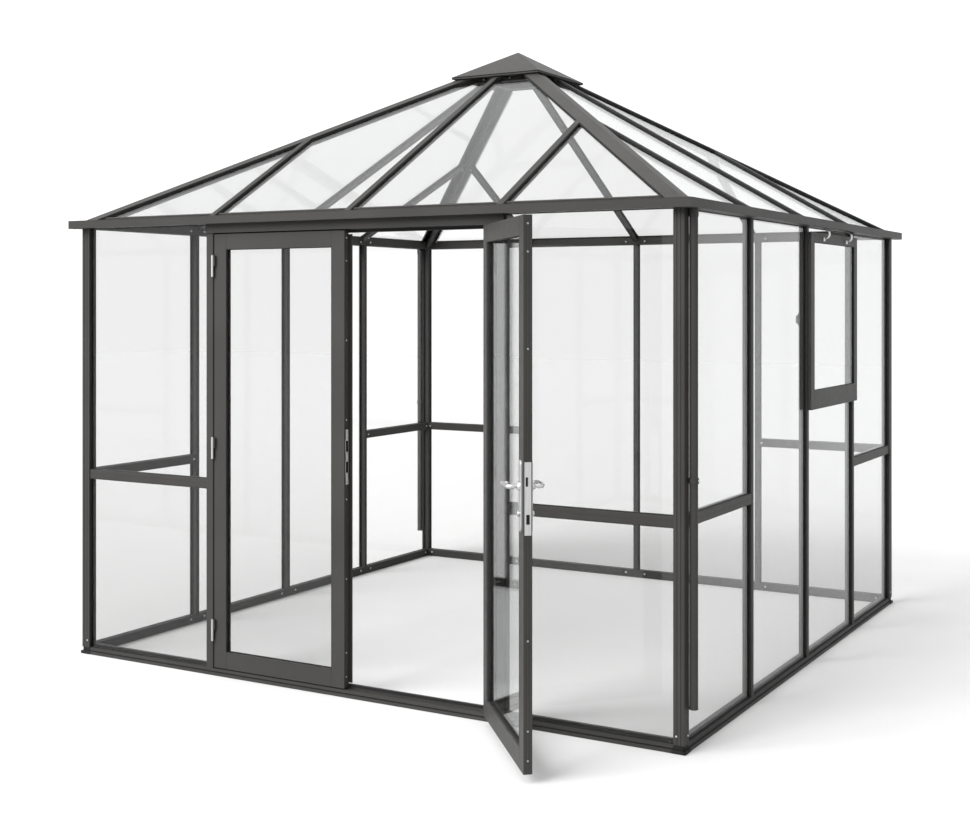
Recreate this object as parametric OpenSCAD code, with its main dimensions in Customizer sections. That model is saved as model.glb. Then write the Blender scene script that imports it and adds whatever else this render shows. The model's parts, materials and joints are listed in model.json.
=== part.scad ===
// Square glass greenhouse: aluminium bars on a base rail, a pyramid roof with a
// gutter all round, a double door in the front wall and a window in the right wall.
// Millimetres, +Z up. The front wall faces -Y. The origin is on the ground under the
// middle of the front base rail, so it lies in the middle of the doorway.

/* [Plan and height] */
// Width of one glazing bay, of which every wall has four
bay_w = 745; // [560:5:930]
// Ground to the underside of the eave plate
eave_h = 1963; // [1600:1:2400]
// Slope of the four roof faces, in degrees
roof_pitch = 30; // [24:1:36]

/* [Glazing bars] */
// Thickness of the wall and roof panes
glass_t = 4; // [3:0.5:6]
// Width of the outer cap of a bar
cap_w = 30; // [24:1:40]
// Thickness of the outer cap of a bar
cap_t = 9; // [6:0.5:12]
// Width of a bar behind the glass
bar_w = 24; // [18:1:30]
// Depth of a wall bar behind the glass
bar_d = 25; // [18:1:35]
// Width of the web that parts two panes
web_w = 10; // [6:1:14]
// How far a pane reaches into a groove
groove_d = 8; // [5:1:10]
// Space between the edge of a pane and the end of its groove
pane_gap = 1; // [0.5:0.5:2]

/* [Base rail] */
// Height of the base rail behind the glass
base_h = 43; // [38:1:60]
// Height of the base rail in front of the glass
flange_h = 30; // [20:1:36]
// Width of the foot that stands out at the bottom
lip_w = 8; // [4:1:14]
// Height of that foot
lip_h = 12; // [6:1:18]

/* [Corner posts and middle rails] */
// Bevel on the outer edge of a corner post
post_bevel = 5; // [1:0.5:8]
// Height of the underside of the middle rails
rail_z = 809; // [600:1:1000]
// Height of a middle rail
rail_h = 43; // [30:1:60]

/* [Eave and gutter] */
// Height of the eave plate at its outer face, under the roof glass
plate_face_h = 21; // [18:0.5:32]
// Distance that the gutter stands out from the wall
gutter_w = 49.6; // [40:0.1:70]
// Height of the gutter
gutter_h = 33; // [24:1:45]
// Wall of the gutter
gutter_t = 3; // [2:0.5:4]
// How far the roof glass reaches past the wall, over the gutter
glass_drip = 18; // [8:1:30]

/* [Roof bars and cap] */
// Distance of a jack rafter from the middle of its roof face
jack_x = 720; // [560:5:930]
// Depth of a rafter below the glass
rafter_d = 20; // [14:1:35]
// Depth of a hip below the glass
hip_d = 30; // [20:1:45]
// Width of a hip below the glass
hip_w = 24; // [18:1:32]
// Width of the web of a hip
hip_web_w = 16; // [10:1:18]
// Width in plan of each wing of the hip cap
hip_wing = 46; // [30:1:60]
// Half width of the apex ring
ring_half = 140; // [110:1:180]
// Wall of the apex ring
ring_t = 35; // [20:1:45]
// How far the apex ring hangs below the roof glass
ring_drop = 45; // [30:1:70]
// Half width of the roof cap
top_half = 243; // [200:1:300]
// Clear height between the rafter caps and the roof cap
top_rise = 15; // [8:1:30]
// Thickness of the roof cap
top_t = 3.5; // [2:0.5:6]
// Half width of the collar under the roof cap
collar_half = 225; // [190:1:280]
// Width of that collar
collar_w = 40; // [20:1:60]
// Thickness of that collar
collar_t = 3; // [2:0.5:5]

/* [Doorway] */
// Half width of the door frame, outside
frame_half = 743; // [560:1:900]
// Width of a door jamb
jamb_w = 37; // [30:1:60]
// How far the jambs stand out from the wall
jamb_out = 2; // [1:0.5:3]
// How far the door header stands out from the wall
header_out = 8; // [2:1:15]
// Height of the door header
header_h = 38.5; // [30:0.5:80]
// Height of the base rail in the doorway
sill_h = 28; // [14:1:32]
// Height of the threshold upstand
threshold_h = 45; // [36:1:55]
// Thickness of the door stops
stop_t = 10; // [6:1:16]
// Width of the door stops
stop_w = 14; // [8:1:20]

/* [Door leaves] */
// Thickness of a leaf
leaf_t = 31; // [26:1:45]
// Gap between a leaf and its frame, at the sides, top and bottom
leaf_gap = 5.5; // [5:0.5:10]
// Gap between the two leaves
meet_gap = 7; // [7:0.5:12]
// Distance of the middle of that gap to the left of the middle of the doorway
meet_shift = 5; // [0:1:40]
// Gap between a closed leaf and its stops
stop_gap = 6; // [5:0.5:9]
// Width of the strip on the left leaf that closes the gap between the leaves
strip_w = 34; // [24:1:50]
// Thickness of that strip
strip_t = 6; // [4:0.5:8]
// How far that strip reaches past the edge of the left leaf
strip_lap = 12; // [9:1:16]
// Width of the leaf stiles
stile_w = 66; // [50:1:90]
// Height of the leaf's top rail
top_rail_h = 67; // [50:1:90]
// Height of the leaf's bottom rail
bottom_rail_h = 72; // [50:1:110]
// Thickness of the leaf's pane
leaf_glass_t = 6; // [4:1:10]
// Depth of the leaf's pane behind its outer face
reveal = 12; // [6:1:16]
// Angle to which the right leaf stands open, in degrees
open_angle = 131; // [0:0.5:150]

/* [Door hinges and handles] */
// Radius of a hinge knuckle
knuckle_r = 5.5; // [5:0.5:7]
// Height of a whole hinge
hinge_h = 91; // [60:1:120]
// Distance from the bottom of a leaf to its lowest hinge
hinge_low = 118; // [60:1:200]
// Distance from the top of a leaf to its highest hinge
hinge_top = 93; // [60:1:200]
// Width of a hinge's leaf plates
flag_w = 10; // [8:0.5:14]
// Thickness of those plates
flag_t = 4; // [3:0.5:5]
// Radius of a hinge pin
pin_r = 3; // [2:0.5:4]
// Radial running clearance of a hinge pin
pin_clear = 0.05; // [0.03:0.01:0.1]
// Distance from the hinge axis to the outer face of a closed leaf
axis_out = 9.5; // [9.5:0.5:20]
// Height of the lever handles
lever_z = 1000; // [900:1:1100]
// Width of a handle's backplate
plate_w = 34; // [24:1:42]
// Height of a handle's backplate
plate_l = 245; // [160:1:300]
// Thickness of a handle's backplate
plate_t = 6; // [4:1:9]
// Length of a lever
lever_l = 118; // [90:1:140]
// Radius of a lever
lever_r = 8; // [6:0.5:11]
// Distance from the leaf's face to the middle of a lever
lever_out = 46; // [36:1:60]

/* [Window] */
// Height of the underside of the window sash
sash_z = 1138; // [900:1:1400]
// Gap between the top of the sash and the gutter
sash_top_gap = 23; // [12:1:60]
// Thickness of the sash
sash_t = 18; // [12:1:26]
// How far the sash covers the bars, past their middle
sash_lap = 6; // [2:1:11]
// Width of the sash stiles
sash_stile_w = 50; // [35:1:70]
// Height of the sash's top rail
sash_top_h = 45; // [35:1:70]
// Height of the sash's bottom rail
sash_bottom_h = 86; // [50:1:110]
// Height of the fixed rail behind the sash's bottom rail
cill_h = 40; // [30:1:60]
// Height of that rail above the underside of the sash
cill_rise = 12; // [4:1:30]
// Thickness of the sash's pane
window_glass_t = 4; // [3:0.5:6]
// How deep the sash holds its pane
sash_groove = 8; // [5:1:12]
// Width of a window hinge
window_hinge_w = 28; // [18:1:40]
// Thickness of a window hinge
window_hinge_t = 3; // [2:0.5:5]
// Height of the window handle's plate
catch_h = 57; // [40:1:80]
// Height of its turning grip
catch_grip_h = 32; // [20:1:50]
// Distance of the window handle's plate below the middle of the sash
catch_drop = 22; // [0:1:80]

/* [Downpipes] */
// Outer radius of a downpipe
pipe_r = 16; // [12:1:20]
// Wall of a downpipe
pipe_t = 2; // [1.5:0.5:3]
// Distance of a downpipe from the middle of its corner post, along the wall
pipe_inset = 18; // [0:1:60]
// Height of the open lower end
pipe_z = 157; // [60:1:300]
// Height of the pipe clip
clip_z = 970; // [300:5:1500]
// Height of a pipe clip
clip_h = 20; // [12:1:30]
// Wall of a pipe clip
clip_t = 3; // [2:0.5:5]
// Space between a clip and its pipe
clip_clear = 0.3; // [0.1:0.1:1]

/* [Hidden] */

FRONT = 0;
RIGHT = 1;
BACK = 2;
LEFT = 3;

// Distances from the middle of the plan, square to a wall
base_half = 2 * bay_w;
face_r = base_half - lip_w;
pane_r = face_r - cap_t;
back_r = pane_r - glass_t;
inner_r = back_r - bar_d;
wall_d = face_r - inner_r;
gutter_r = face_r + gutter_w;
drip_r = face_r + glass_drip;
origin_r = (base_half + inner_r) / 2;

// Roof planes, as heights square to the glass above its underside
plate_top = eave_h + plate_face_h + wall_d * tan(roof_pitch);
bar_top = glass_t + cap_t;
top_under = bar_top + top_rise;
ring_z = plate_top + (inner_r - ring_half) * tan(roof_pitch) - ring_drop;
hip_pitch = atan(tan(roof_pitch) / sqrt(2));
sky = 4 * base_half;

// Doorway, with distances from its middle
jamb_in = frame_half - jamb_w;
header_z = eave_h - header_h;
leaf_in_r = face_r - leaf_t;
stop_r = leaf_in_r - stop_gap;
stop_back_r = stop_r - stop_t;
leaf_x1 = jamb_in - leaf_gap;
left_x0 = meet_shift + meet_gap / 2;
right_x0 = meet_gap / 2 - meet_shift;
leaf_z0 = sill_h + leaf_gap;
leaf_z1 = header_z - leaf_gap;
pane_in_r = face_r - reveal - leaf_glass_t;
axis_x = jamb_in - leaf_gap / 2;
axis_r = face_r + axis_out;
hinge_low_z = leaf_z0 + hinge_low;
hinge_high_z = leaf_z1 - hinge_top - hinge_h;
hinge_zs = [hinge_low_z, (hinge_low_z + hinge_high_z) / 2, hinge_high_z];
hinge_gap = 0.5;
pin_l = hinge_h / 3;
plate_x = right_x0 + stile_w / 2;

// Window, in the third bay of the right wall
sash_x0 = -sash_lap;
sash_x1 = bay_w + sash_lap;
sash_top_z = eave_h - sash_top_gap;
cill_z = sash_z + cill_rise;

// Downpipes stand in front of a corner post, under the gutter and a little nearer the
// wall than the gutter's middle
pipe_x = pipe_inset - (inner_r + face_r) / 2;
pipe_shift = 1;
pipe_centre_r = face_r + gutter_w / 2 - pipe_shift;

dark = [0.29, 0.29, 0.28];
clear_glass = [0.86, 0.90, 0.90, 0.35];
steel = [0.78, 0.78, 0.77];

// --- placing ---------------------------------------------------------------

// Puts a piece drawn for the front wall, about the middle of the plan, on any wall
module on_wall(i) {
    translate([0, origin_r, 0]) rotate([0, 0, 90 * i]) children();
}

// Draws a piece that runs along the front wall from a section of distance and height
module along_wall(x0, x1) {
    translate([x0, 0, 0]) rotate([90, 0, 90]) linear_extrude(x1 - x0)
        mirror([1, 0]) children();
}

// The quarter of the plan that belongs to the front wall
module wall_wedge(reach) {
    linear_extrude(sky) polygon([[0, 0], [reach, -reach], [-reach, -reach]]);
}

// A block in wall coordinates: along the wall, outward and up
module wall_box(x0, x1, r0, r1, z0, z1) {
    translate([x0, -r1, z0]) cube([x1 - x0, r1 - r0, z1 - z0]);
}

// The layer between two heights square to the front roof face
module roof_layer(low, high) {
    translate([0, -inner_r, plate_top]) rotate([roof_pitch, 0, 0])
        translate([-sky / 2, -sky, low]) cube([sky, 2 * sky, high - low]);
}

// An upright prism over a plan outline
module plan_zone(points) {
    linear_extrude(sky) polygon(points);
}

// --- base rail -------------------------------------------------------------

module base_section() {
    difference() {
        union() {
            translate([inner_r, 0]) square([base_half - inner_r, lip_h]);
            translate([inner_r, 0]) square([face_r - inner_r, flange_h]);
            translate([inner_r, 0]) square([back_r - inner_r, base_h]);
        }
        translate([back_r, flange_h - groove_d]) square([glass_t, base_h]);
    }
}

module base_rail(i) {
    color(dark) on_wall(i) intersection() {
        along_wall(-base_half, base_half) base_section();
        wall_wedge(base_half + 1);
    }
}

module base_front() {
    color(dark) difference() {
        base_rail(FRONT);
        on_wall(FRONT) wall_box(-frame_half, frame_half, inner_r - 1, base_half + 1,
                                sill_h, base_h + 1);
        on_wall(FRONT) wall_box(-jamb_in, jamb_in, back_r, pane_r, flange_h, base_h + 1);
    }
}

// --- walls -----------------------------------------------------------------

module bar_section() {
    translate([-cap_w / 2, -face_r]) square([cap_w, cap_t]);
    translate([-web_w / 2, -face_r]) square([web_w, wall_d]);
    translate([-bar_w / 2, -back_r]) square([bar_w, bar_d]);
}

module wall_bar(x) {
    translate([x, 0, base_h]) linear_extrude(eave_h - base_h) bar_section();
    wall_box(x - cap_w / 2, x + cap_w / 2, pane_r, face_r, flange_h, base_h + 1);
}

module wall_bars() {
    color(dark) for (i = [RIGHT, BACK, LEFT], x = [-bay_w, 0, bay_w])
        on_wall(i) wall_bar(x);
}

module post_outline() {
    polygon([[inner_r, -inner_r], [inner_r, -face_r], [face_r - post_bevel, -face_r],
             [face_r, -face_r + post_bevel], [face_r, -inner_r]]);
}

// A corner post with grooves for the panes of both its walls
module corner_post() {
    intersection() {
        difference() {
            translate([0, 0, flange_h]) linear_extrude(sky) post_outline();
            translate([0, 0, flange_h - 1]) wall_box(inner_r - 1, pane_r, inner_r - 1, pane_r,
                                                     0, base_h - flange_h + 1);
            wall_box(inner_r - 1, inner_r + groove_d, back_r, pane_r, 0, sky);
            wall_box(back_r, pane_r, inner_r - 1, inner_r + groove_d, 0, sky);
        }
        roof_layer(-sky, 0);
        rotate([0, 0, 90]) roof_layer(-sky, 0);
    }
}

module corner_posts() {
    color(dark) for (i = [FRONT, RIGHT, BACK, LEFT]) on_wall(i) corner_post();
}

// A middle rail from a bar or jamb at x0 to the corner post
module middle_rail(cap_x0, body_x0) {
    mid_z = rail_z + rail_h / 2;
    wall_box(cap_x0, inner_r, pane_r, face_r, rail_z, rail_z + rail_h);
    wall_box(cap_x0, inner_r, inner_r, face_r, mid_z - web_w / 2, mid_z + web_w / 2);
    wall_box(body_x0, inner_r, inner_r, back_r, rail_z, rail_z + rail_h);
}

module middle_rails() {
    color(dark) for (i = [FRONT, RIGHT, BACK, LEFT], side = [0, 1])
        on_wall(i) mirror([side, 0, 0])
            middle_rail(i == FRONT ? frame_half : bay_w + cap_w / 2,
                        i == FRONT ? frame_half : bay_w + bar_w / 2);
}

// --- wall glass ------------------------------------------------------------

pane_z0 = flange_h - groove_d;
pane_z1 = eave_h + groove_d - pane_gap;
post_pane_x = inner_r + groove_d - pane_gap;
rail_mid_z = rail_z + rail_h / 2;

module wall_pane(x0, x1, z0, z1) {
    wall_box(x0, x1, back_r, pane_r, z0, z1);
}

// The two panes of an end bay, above and below the middle rail
module end_panes(x0) {
    wall_pane(x0, post_pane_x, pane_z0, rail_mid_z - web_w / 2);
    wall_pane(x0, post_pane_x, rail_mid_z + web_w / 2, pane_z1);
}

module end_bays(x0) {
    for (side = [0, 1]) mirror([side, 0, 0]) end_panes(x0);
}

module middle_pane(z1) {
    wall_pane(web_w / 2, bay_w - web_w / 2, pane_z0, z1);
}

module front_wall_glass() {
    color(clear_glass) on_wall(FRONT) end_bays(frame_half - groove_d + pane_gap);
}

module right_wall_glass() {
    color(clear_glass) on_wall(RIGHT) {
        end_bays(bay_w + web_w / 2);
        mirror([1, 0, 0]) middle_pane(pane_z1);
        middle_pane(cill_z + groove_d - pane_gap);
    }
}

module closed_wall_glass(i) {
    color(clear_glass) on_wall(i) {
        end_bays(bay_w + web_w / 2);
        for (side = [0, 1]) mirror([side, 0, 0]) middle_pane(pane_z1);
    }
}

module back_wall_glass() { closed_wall_glass(BACK); }
module left_wall_glass() { closed_wall_glass(LEFT); }

// --- eave and gutter -------------------------------------------------------

module eave_plates() {
    color(dark) for (i = [FRONT, RIGHT, BACK, LEFT]) on_wall(i) intersection() {
        difference() {
            wall_box(-inner_r, inner_r, inner_r, face_r, eave_h, sky);
            wall_box(-inner_r - 1, inner_r + 1, back_r, pane_r, eave_h - 1, eave_h + groove_d);
        }
        roof_layer(-sky, 0);
    }
}

module gutter(i) {
    color(dark) on_wall(i) intersection() {
        union() {
            wall_box(-gutter_r, gutter_r, face_r, gutter_r, eave_h, eave_h + gutter_t);
            wall_box(-gutter_r, gutter_r, gutter_r - gutter_t, gutter_r,
                     eave_h, eave_h + gutter_h);
        }
        wall_wedge(gutter_r + 1);
    }
}

// --- roof bars -------------------------------------------------------------

// A rafter across the front roof face at x, before it is cut to its length
module rafter_bar(x, width, low, high) {
    intersection() {
        roof_layer(low, high);
        wall_box(x - width / 2, x + width / 2, 0, drip_r, 0, sky);
    }
}

module main_rafter() {
    intersection() {
        union() {
            rafter_bar(0, cap_w, glass_t, bar_top);
            rafter_bar(0, web_w, 0, bar_top);
        }
        wall_box(-cap_w, cap_w, ring_half, drip_r, 0, sky);
    }
    intersection() {
        rafter_bar(0, bar_w, -rafter_d, 0);
        wall_box(-cap_w, cap_w, ring_half, inner_r, 0, sky);
    }
}

// The part of the front roof face that lies past a line beside the right hip
module beside_hip(offset_w, r1) {
    d = offset_w * sqrt(2);
    plan_zone([[0, -d], [r1 - d, -r1], [0, -r1]]);
}

module jack_rafter() {
    intersection() {
        rafter_bar(jack_x, cap_w, glass_t, bar_top);
        beside_hip(hip_wing, drip_r);
    }
    intersection() {
        rafter_bar(jack_x, web_w, 0, glass_t);
        beside_hip(hip_web_w / 2, drip_r);
    }
    intersection() {
        rafter_bar(jack_x, bar_w, -rafter_d, 0);
        beside_hip(hip_w / 2, inner_r);
    }
}

module main_rafters() {
    color(dark) for (i = [FRONT, RIGHT, BACK, LEFT]) on_wall(i) main_rafter();
}

module jack_rafters() {
    color(dark) for (i = [FRONT, RIGHT, BACK, LEFT], side = [0, 1])
        on_wall(i) mirror([side, 0, 0]) jack_rafter();
}

// The half of a hip's plan strip that lies on the front roof face
module hip_strip(half_w, r1) {
    d = half_w * sqrt(2);
    difference() {
        plan_zone([[0, 0], [r1, -r1], [r1 - d, -r1], [0, -d]]);
        wall_box(-ring_half, ring_half, -ring_half, ring_half, 0, sky);
    }
}

module hip_half() {
    intersection() {
        roof_layer(glass_t, bar_top);
        hip_strip(hip_wing, drip_r);
    }
    intersection() {
        roof_layer(0, bar_top);
        hip_strip(hip_web_w / 2, drip_r);
    }
    intersection() {
        roof_layer(-hip_d, 0);
        hip_strip(hip_w / 2, inner_r);
    }
}

// The hip between the front and right roof faces
module hip_rafter() {
    hip_half();
    rotate([0, 0, 90]) mirror([1, 0, 0]) hip_half();
}

module hip_rafters() {
    color(dark) for (i = [FRONT, RIGHT, BACK, LEFT]) on_wall(i) hip_rafter();
}

// --- roof glass ------------------------------------------------------------

module roof_panes(i) {
    d = hip_web_w / 2 * sqrt(2);
    x0 = web_w / 2;
    x1 = jack_x - web_w / 2;
    x2 = jack_x + web_w / 2;
    color(clear_glass) on_wall(i) for (side = [0, 1]) mirror([side, 0, 0]) intersection() {
        roof_layer(0, glass_t);
        union() {
            plan_zone([[x2, -drip_r], [drip_r - d, -drip_r], [x2, -x2 - d]]);
            plan_zone([[x0, -drip_r], [x1, -drip_r], [x1, -x1 - d],
                       [ring_half - d, -ring_half], [x0, -ring_half]]);
        }
    }
}

// --- apex ------------------------------------------------------------------

// Everything under all four roof faces, raised by a height square to the glass
module under_roof(height) {
    intersection_for (i = [0:3]) rotate([0, 0, 90 * i]) roof_layer(-sky, height);
}

module square_prism(half, z0, z1) {
    translate([-half, -half, z0]) cube([2 * half, 2 * half, z1 - z0]);
}

// A sheet parallel to all four roof faces
module pyramid_sheet(low, high, half) {
    difference() {
        intersection() {
            under_roof(high);
            square_prism(half, eave_h, sky);
        }
        under_roof(low);
    }
}

module apex_ring() {
    color(dark) on_wall(FRONT) difference() {
        intersection() {
            under_roof(top_under);
            square_prism(ring_half, ring_z, sky);
        }
        square_prism(ring_half - ring_t, ring_z - 1, sky);
    }
}

module roof_collar() {
    color(dark) on_wall(FRONT) difference() {
        pyramid_sheet(bar_top, bar_top + collar_t, collar_half);
        square_prism(collar_half - collar_w, eave_h, sky);
    }
}

module roof_cap() {
    color(dark) on_wall(FRONT) pyramid_sheet(top_under, top_under + top_t, top_half);
}

// --- window ----------------------------------------------------------------

// The fixed rail between the pane below the window and its sash
module window_cill() {
    x0 = cap_w / 2;
    x1 = bay_w - cap_w / 2;
    color(dark) on_wall(RIGHT) difference() {
        union() {
            wall_box(x0, x1, inner_r, face_r, cill_z, cill_z + cill_h);
            wall_box(bar_w / 2, bay_w - bar_w / 2, inner_r, back_r, cill_z, cill_z + cill_h);
        }
        wall_box(0, bay_w, back_r, pane_r, cill_z - 1, cill_z + groove_d);
    }
}

module sash_pane(lap) {
    wall_box(sash_x0 + sash_stile_w - lap, sash_x1 - sash_stile_w + lap,
             face_r + (sash_t - window_glass_t) / 2, face_r + (sash_t + window_glass_t) / 2,
             sash_z + sash_bottom_h - lap, sash_top_z - sash_top_h + lap);
}

module sash_stiles() {
    color(dark) on_wall(RIGHT) difference() {
        for (x = [sash_x0, sash_x1 - sash_stile_w])
            wall_box(x, x + sash_stile_w, face_r, face_r + sash_t, sash_z, sash_top_z);
        sash_pane(sash_groove);
    }
}

module sash_rails() {
    x0 = sash_x0 + sash_stile_w;
    x1 = sash_x1 - sash_stile_w;
    color(dark) on_wall(RIGHT) difference() {
        union() {
            wall_box(x0, x1, face_r, face_r + sash_t, sash_z, sash_z + sash_bottom_h);
            wall_box(x0, x1, face_r, face_r + sash_t, sash_top_z - sash_top_h, sash_top_z);
        }
        sash_pane(sash_groove);
    }
}

module sash_glass() {
    color(clear_glass) on_wall(RIGHT) sash_pane(sash_groove - pane_gap);
}

// A strap from the sash's top rail to the underside of the gutter
module window_hinge(x) {
    hinge_r = face_r + sash_t;
    strap_share = 0.6;
    wall_box(x - window_hinge_w / 2, x + window_hinge_w / 2,
             hinge_r, hinge_r + window_hinge_t,
             sash_top_z - sash_top_h * strap_share, eave_h);
}

module window_hinges() {
    color(steel) on_wall(RIGHT) for (x = [bay_w / 4, bay_w * 3 / 4]) window_hinge(x);
}

module window_handle() {
    z = (sash_z + sash_top_z) / 2 - catch_drop;
    grip_z = z + (catch_h - catch_grip_h) / 3;
    base_t = 6;
    grip_t = 10;
    color(dark) on_wall(RIGHT) {
        wall_box(-bar_w / 2, bar_w / 2, inner_r - base_t, inner_r, z, z + catch_h);
        wall_box(-web_w / 5, bar_w * 4 / 5, inner_r - base_t - grip_t, inner_r - base_t,
                 grip_z, grip_z + catch_grip_h);
    }
}

// --- downpipes -------------------------------------------------------------

module at_pipe() {
    for (i = [RIGHT, LEFT]) on_wall(i) translate([pipe_x, -pipe_centre_r, 0]) children();
}

module downpipes() {
    color(dark) at_pipe() translate([0, 0, pipe_z]) difference() {
        cylinder(r = pipe_r, h = eave_h - pipe_z, $fn = 48);
        translate([0, 0, -1]) cylinder(r = pipe_r - pipe_t, h = eave_h - pipe_z + 2, $fn = 48);
    }
}

module pipe_clips() {
    bore_r = pipe_r + clip_clear;
    color(dark) at_pipe() translate([0, 0, clip_z]) difference() {
        union() {
            cylinder(r = bore_r + clip_t, h = clip_h, $fn = 48);
            translate([-bore_r / 2, 0, 0]) cube([bore_r, pipe_centre_r - face_r, clip_h]);
        }
        translate([0, 0, -1]) cylinder(r = bore_r, h = clip_h + 2, $fn = 48);
    }
}

// --- door frame ------------------------------------------------------------

module door_jambs() {
    color(dark) on_wall(FRONT) for (side = [0, 1]) mirror([side, 0, 0]) difference() {
        union() {
            wall_box(jamb_in, frame_half, stop_back_r, face_r + jamb_out, sill_h, header_z);
            wall_box(jamb_in - stop_w, jamb_in + 1, stop_back_r, stop_r, sill_h, header_z);
        }
        wall_box(frame_half - groove_d, frame_half + 1, back_r, pane_r, 0, header_z + 1);
    }
}

module door_header() {
    color(dark) on_wall(FRONT) {
        difference() {
            wall_box(-frame_half, frame_half, stop_back_r, face_r + header_out,
                     header_z, eave_h);
            for (side = [0, 1]) mirror([side, 0, 0])
                wall_box(frame_half - groove_d, frame_half + 1, back_r, pane_r,
                         header_z - 1, eave_h + 1);
        }
        wall_box(-jamb_in + stop_w, jamb_in - stop_w, stop_back_r, stop_r,
                 header_z - stop_w, header_z + 1);
    }
}

module door_threshold() {
    x = jamb_in - stop_w;
    color(dark) on_wall(FRONT) {
        wall_box(-x, x, stop_back_r, inner_r, 0, sill_h);
        wall_box(-x, x, stop_back_r, stop_r, sill_h, threshold_h);
    }
}

// --- door leaves -----------------------------------------------------------

// Turns a piece of the right leaf from closed to where the leaf stands open
module opened() {
    translate([axis_x, -axis_r, 0]) rotate([0, 0, open_angle])
        translate([-axis_x, axis_r, 0]) children();
}

module on_leaf(is_right) {
    on_wall(FRONT) {
        if (is_right) opened() children();
        else mirror([1, 0, 0]) children();
    }
}

// The edge of a closed leaf at the meeting gap, measured towards its own side
function meet_x(is_right) = is_right ? right_x0 : left_x0;

// The pane of a leaf, drawn for the right leaf closed; lap is how far it enters the grooves
module leaf_pane(is_right, lap) {
    wall_box(meet_x(is_right) + stile_w - lap, leaf_x1 - stile_w + lap,
             pane_in_r, pane_in_r + leaf_glass_t,
             leaf_z0 + bottom_rail_h - lap, leaf_z1 - top_rail_h + lap);
}

module leaf_stiles(is_right) {
    color(dark) on_leaf(is_right) difference() {
        for (x = [meet_x(is_right), leaf_x1 - stile_w])
            wall_box(x, x + stile_w, leaf_in_r, face_r, leaf_z0, leaf_z1);
        leaf_pane(is_right, groove_d);
    }
}

module leaf_rails(is_right) {
    x0 = meet_x(is_right) + stile_w;
    x1 = leaf_x1 - stile_w;
    color(dark) on_leaf(is_right) difference() {
        union() {
            wall_box(x0, x1, leaf_in_r, face_r, leaf_z0, leaf_z0 + bottom_rail_h);
            wall_box(x0, x1, leaf_in_r, face_r, leaf_z1 - top_rail_h, leaf_z1);
        }
        leaf_pane(is_right, groove_d);
    }
}

module leaf_glass(is_right) {
    color(clear_glass) on_leaf(is_right) leaf_pane(is_right, groove_d - pane_gap);
}

module left_leaf_stiles() { leaf_stiles(false); }
module left_leaf_rails() { leaf_rails(false); }
module left_leaf_glass() { leaf_glass(false); }
module right_leaf_stiles() { leaf_stiles(true); }
module right_leaf_rails() { leaf_rails(true); }
module right_leaf_glass() { leaf_glass(true); }

// The strip on the left leaf that the right leaf closes against
module left_leaf_strip() {
    z0 = threshold_h + leaf_gap;
    z1 = header_z - stop_w - leaf_gap;
    color(dark) on_wall(FRONT) {
        wall_box(strip_lap - left_x0 - strip_w, -left_x0, stop_r - strip_t, leaf_in_r, z0, z1);
        wall_box(-left_x0 - 1, strip_lap - left_x0, stop_r - strip_t, stop_r, z0, z1);
    }
}

// --- hinges ----------------------------------------------------------------

module hinge_half_h() {
    cylinder(r = knuckle_r, h = (hinge_h - hinge_gap) / 2, $fn = 32);
}

// The lower half of each hinge, with its pin, on the jamb
module frame_hinge(z) {
    half_h = (hinge_h - hinge_gap) / 2;
    translate([axis_x, -axis_r, z]) {
        hinge_half_h();
        cylinder(r = pin_r, h = half_h + hinge_gap + pin_l, $fn = 32);
    }
    wall_box(axis_x + 1, jamb_in + flag_w, axis_r - flag_t / 2, axis_r + flag_t / 2,
             z, z + half_h);
    wall_box(jamb_in + flag_w - flag_t, jamb_in + flag_w, face_r + jamb_out,
             axis_r + flag_t / 2, z, z + half_h);
}

module frame_hinges() {
    color(steel) on_wall(FRONT) for (side = [0, 1], z = hinge_zs)
        mirror([side, 0, 0]) frame_hinge(z);
}

// The upper half of each hinge, bored for the pin, on the leaf
module leaf_hinge(z) {
    half_h = (hinge_h - hinge_gap) / 2;
    z1 = z + half_h + hinge_gap;
    difference() {
        union() {
            translate([axis_x, -axis_r, z1]) hinge_half_h();
            wall_box(leaf_x1 - flag_w, axis_x, axis_r - flag_t / 2, axis_r + flag_t / 2,
                     z1, z1 + half_h);
            wall_box(leaf_x1 - flag_w, leaf_x1 - flag_w + flag_t, face_r, axis_r + flag_t / 2,
                     z1, z1 + half_h);
        }
        translate([axis_x, -axis_r, z1 - 1])
            cylinder(r = pin_r + pin_clear, h = pin_l + 2, $fn = 32);
    }
}

module leaf_hinges(is_right) {
    color(steel) on_leaf(is_right) for (z = hinge_zs) leaf_hinge(z);
}

module left_leaf_hinges() { leaf_hinges(false); }
module right_leaf_hinges() { leaf_hinges(true); }

// --- handles ---------------------------------------------------------------

// A lever handle on its backplate; out is 1 on the outer face and -1 on the inner face
module handle(out) {
    face = out > 0 ? face_r : leaf_in_r;
    share_below = 0.63;
    plate_z = lever_z - plate_l * share_below;
    translate([plate_x, -face, 0]) mirror([0, out > 0 ? 0 : 1, 0]) {
        translate([-plate_w / 2, -plate_t, plate_z]) cube([plate_w, plate_t, plate_l]);
        translate([0, 0, lever_z]) rotate([90, 0, 0])
            cylinder(r = lever_r, h = lever_out + lever_r, $fn = 32);
        translate([0, -lever_out, lever_z]) rotate([0, 90, 0])
            cylinder(r = lever_r, h = lever_l, $fn = 32);
        translate([lever_l - lever_r, -lever_out, lever_z]) rotate([-90, 0, 0])
            cylinder(r = lever_r, h = lever_out / 2, $fn = 32);
    }
}

module right_leaf_handles() {
    color(steel) on_leaf(true) for (out = [-1, 1]) handle(out);
}

// --- nodes -----------------------------------------------------------------

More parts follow.
